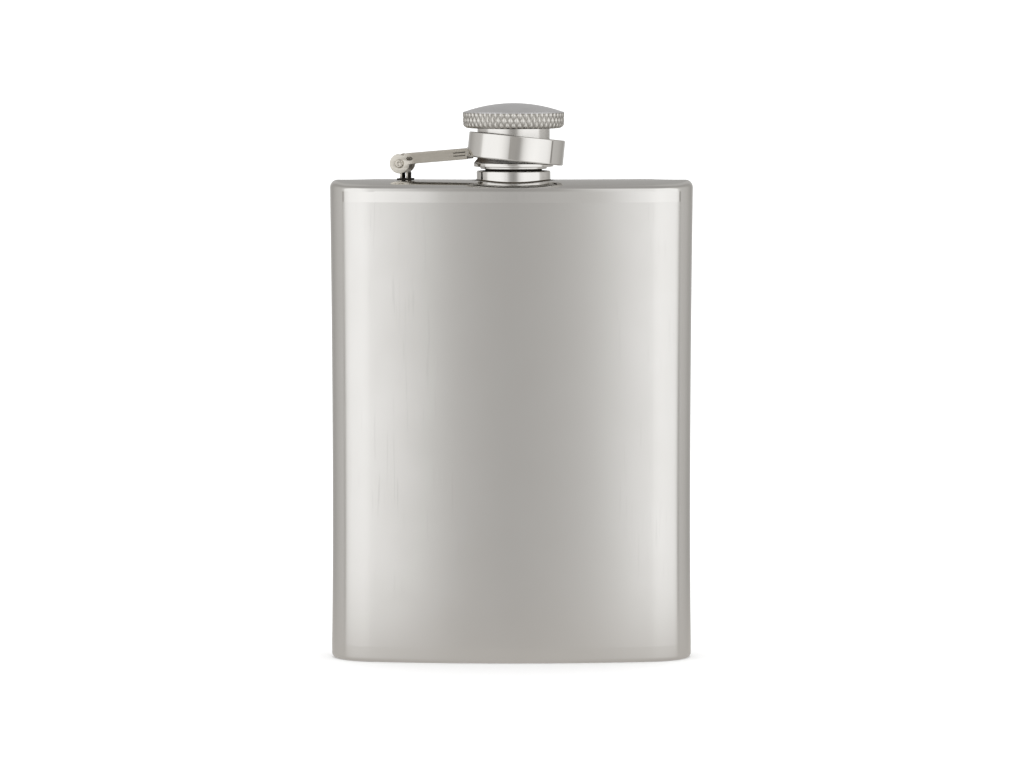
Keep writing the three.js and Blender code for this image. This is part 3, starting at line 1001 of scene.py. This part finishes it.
def post_painted_shade(x, z):
    """Painted shade on the legs' far sides and between them, a little of it above the legs, and
    painted contact shadow over the foot.
    """
    foot_top = -2.75
    legs_top = -0.9
    if z < foot_top:
        return 1.0
    if z > legs_top:
        return 0.15
    sides = [leg - POST_STRIP * 0.3 for leg in POST_LEGS]
    return float(any(side < x - 0.3 < side + 0.25 for side in sides))


post_geometry = post()
add_piece("post", post_geometry, post_steel, "root", HINGE_PLACE,
          ["hinge_post"], marks=[post_painted_shade(x, z) for x, _, z in post_geometry[0]])

# ---- Floor --------------------------------------------------------------------------------


def floor():
    """A wide pale floor, a hair under the flask."""
    geometry = lathe([(0, 0), (60, 0), (200, 0), (800, 0), (4000, 0)], 96)
    mesh = made_mesh("floor", geometry, Matrix.Translation((0, 0, -0.02)))
    finish = Finish("Pale floor")
    paper = finish.noise(0.6, detail=4.0)
    finish.colour(finish.mixed(paper, (0.93, 0.93, 0.93), (0.915, 0.915, 0.915)))
    finish.shader.inputs["Roughness"].default_value = 0.9
    finish.shader.inputs["Specular IOR Level"].default_value = 0.0
    disc = add_object("floor", mesh, finish.material)
    disc.visible_glossy = False


def painted_floor_reflection():
    """Painted reflection of the shaded floor that polished steel sees near it: a glowing grey
    patch that fades outwards.
    """
    geometry = lathe([(0, 0), (165, 0), (330, 0)], 96)
    mesh = made_mesh("painted floor reflection", geometry, Matrix.Translation((0, 0, -0.5)))
    material = bpy.data.materials.new("Painted floor reflection")
    material.use_nodes = True
    material.node_tree.nodes.clear()
    nodes = Nodes(material.node_tree)
    from_middle = nodes.add("ShaderNodeVectorMath", operation="LENGTH")
    nodes.link(nodes.add("ShaderNodeTexCoord").outputs["Object"], from_middle.inputs[0])
    fade = nodes.spread(from_middle.outputs["Value"], -0.1, 0.3, to_low=1.0, to_high=0.0,
                        curve="SMOOTHERSTEP")
    # Painted reflection: this glowing grey stands in for the shaded floor as the steel reflects
    # it.
    grey = nodes.add("ShaderNodeEmission")
    grey.inputs["Color"].default_value = (0.57, 0.545, 0.515, 1)
    clear = nodes.add("ShaderNodeBsdfTransparent")
    patch = nodes.either(fade, clear.outputs[0], grey.outputs[0])
    nodes.link(patch, nodes.add("ShaderNodeOutputMaterial").inputs["Surface"])
    card = add_object("painted_floor_reflection", mesh, material)
    card.visible_camera = False
    card.visible_diffuse = False
    card.visible_shadow = False
    card.visible_transmission = False


floor()
painted_floor_reflection()

# ---- Studio light -------------------------------------------------------------------------


def ramp(nodes, source, stops):
    """A colour ramp from (place, brightness, warmth) stops; warmth pulls the blue down."""
    node = nodes.add("ShaderNodeValToRGB")
    elements = node.color_ramp.elements
    while len(elements) > 1:
        elements.remove(elements[-1])
    for i, (place, bright, warm) in enumerate(stops):
        element = elements[0] if i == 0 else elements.new(place)
        element.position = place
        element.color = (bright, bright * (1 - 0.42 * warm), bright * (1 - warm), 1)
    nodes.link(source, node.inputs[0])
    return node.outputs[0]


def studio():
    """White all round for the floor. Polished metal sees a studio: a grey gap round the
    camera, two tall white screens either side of it, and grey room behind them."""
    world = bpy.data.worlds.new("Studio")
    bpy.context.scene.world = world
    world.use_nodes = True
    world.node_tree.nodes.clear()
    nodes = Nodes(world.node_tree)
    maths = nodes.maths
    axes = nodes.add("ShaderNodeSeparateXYZ")
    nodes.link(nodes.add("ShaderNodeTexCoord").outputs["Generated"], axes.inputs[0])
    # Round the horizon from -180 to 180 degrees as 0 to 1, with the camera's side at 0.5.
    facing = maths("ARCTAN2", axes.outputs["X"], maths("MULTIPLY", axes.outputs["Y"], -1.0))
    around = maths("ADD", maths("DIVIDE", facing, TAU), 0.5)
    # From straight down to straight up as 0 to 1.
    up = maths("ADD", maths("DIVIDE", maths("ARCSINE", axes.outputs["Z"]), math.pi), 0.5)
    bearing = maths("MULTIPLY", maths("SUBTRACT", around, 0.5), 360)
    elevation = maths("MULTIPLY", maths("SUBTRACT", up, 0.5), 180)
    beside = maths("ABSOLUTE", bearing)

    def turned(stops):
        return [((angle + 180) / 360, bright, warm) for angle, bright, warm in stops]

    def between(source, low, high):
        """0 below low and 1 above high, in degrees of elevation or of bearing."""
        return nodes.spread(source, low, high, curve="SMOOTHSTEP")

    # What upright faces near the top see, level with the camera.
    level = ramp(nodes, around, turned([
        (-98, .66, .05), (-93, .72, .04), (-88, 1.08, .02), (-80, 1.15, .01),
        (-45, 1.17, .01), (-34, 1.1, .015), (-27, .98, .02), (-22, .88, .02),
        (-18, .74, .03), (-15, .62, .04), (-12, .5, .05), (-8, .42, .06), (0, .36, .06),
        (8, .45, .06), (12, .62, .04), (15, .78, .03), (19, .92, .02), (25, 1.05, .015),
        (34, 1.15, .01), (85, 1.15, .01), (93, .7, .05), (98, .65, .05)]))
    # What the body sees, a little below that: wider screens with dark frames.
    lower = ramp(nodes, around, turned([
        (-99, .62, .05), (-97, .4, .09), (-92, .38, .1), (-90, .95, .03), (-75, 1.15, .01),
        (-45, 1.21, .01), (-27, 1.22, .01), (-23, 1.19, .01), (-20, 1.1, .015),
        (-15, .95, .02), (-11, .68, .04), (-6, .6, .045), (0, .53, .045), (6, .58, .045),
        (12, .62, .045), (15, .68, .04), (18, .84, .02), (22, 1.06, .01), (25, 1.16, .01),
        (45, 1.2, .01), (80, 1.13, .01), (92, .98, .03), (93, .3, .1), (97, .3, .1),
        (99, .62, .05)]))
    # The room behind the screens, from square to the camera round to straight behind the flask.
    behind = ramp(nodes, maths("DIVIDE", beside, 180), [
        (angle / 180, bright, warm) for angle, bright, warm in (
            (97, .63, .05), (118, .57, .06), (135, .46, .07), (147, .4, .07), (160, .52, .05),
            (168, .52, .05), (175, .42, .05), (180, .41, .05))])
    # How much of all this shows at each elevation; the rest is plain grey.
    height = ramp(nodes, up, [
        ((angle + 90) / 180, share, 0) for angle, share in (
            (-90, 0.0), (-40, 0.15), (-14, 0.55), (-7, 0.86), (-4, 1.0), (50, 1.0),
            (62, 0.25), (80, 0.1))])
    # A grey stand by the camera, in front of the gap between the screens.
    stand_width = maths("MULTIPLY", between(bearing, -17.5, -15.0), between(bearing, 10.0, 7.5))
    stand_height = maths("MULTIPLY", between(elevation, 0.4, 1.2),
                         between(elevation, 34.0, 22.0))
    camera_stand = maths("MULTIPLY", stand_width, stand_height)
    screened = nodes.mixed(between(elevation, -3.4, -2.2), lower, level)
    screened = nodes.mixed(between(beside, 97.5, 99.0), screened, behind)
    screened = nodes.mixed(camera_stand, screened, (0.43, 0.415, 0.395))
    room = nodes.mixed(height, (0.4, 0.39, 0.38), screened)
    seen = nodes.add("ShaderNodeBackground")
    nodes.link(room, seen.inputs["Color"])
    white = nodes.add("ShaderNodeBackground")
    white.inputs["Color"].default_value = (1, 1, 1, 1)
    white.inputs["Strength"].default_value = 1.35
    glossy = nodes.add("ShaderNodeLightPath").outputs["Is Glossy Ray"]
    light = nodes.either(glossy, white.outputs[0], seen.outputs[0])
    nodes.link(light, nodes.add("ShaderNodeOutputWorld").inputs["Surface"])


studio()

# ---- Camera -------------------------------------------------------------------------------

view = bpy.data.cameras.new("camera")
view.sensor_width = 36
view.lens = 191.74
view.clip_start = 0.05
view.clip_end = 20
camera = bpy.data.objects.new("camera", view)
camera.location = (0.0001, -1.05, 0.12905)
tilt_down = 4.143
camera.rotation_euler = (math.radians(90 - tilt_down), 0, 0)
bpy.context.scene.collection.objects.link(camera)
bpy.context.scene.camera = camera
bpy.context.scene.view_settings.view_transform = "Standard"
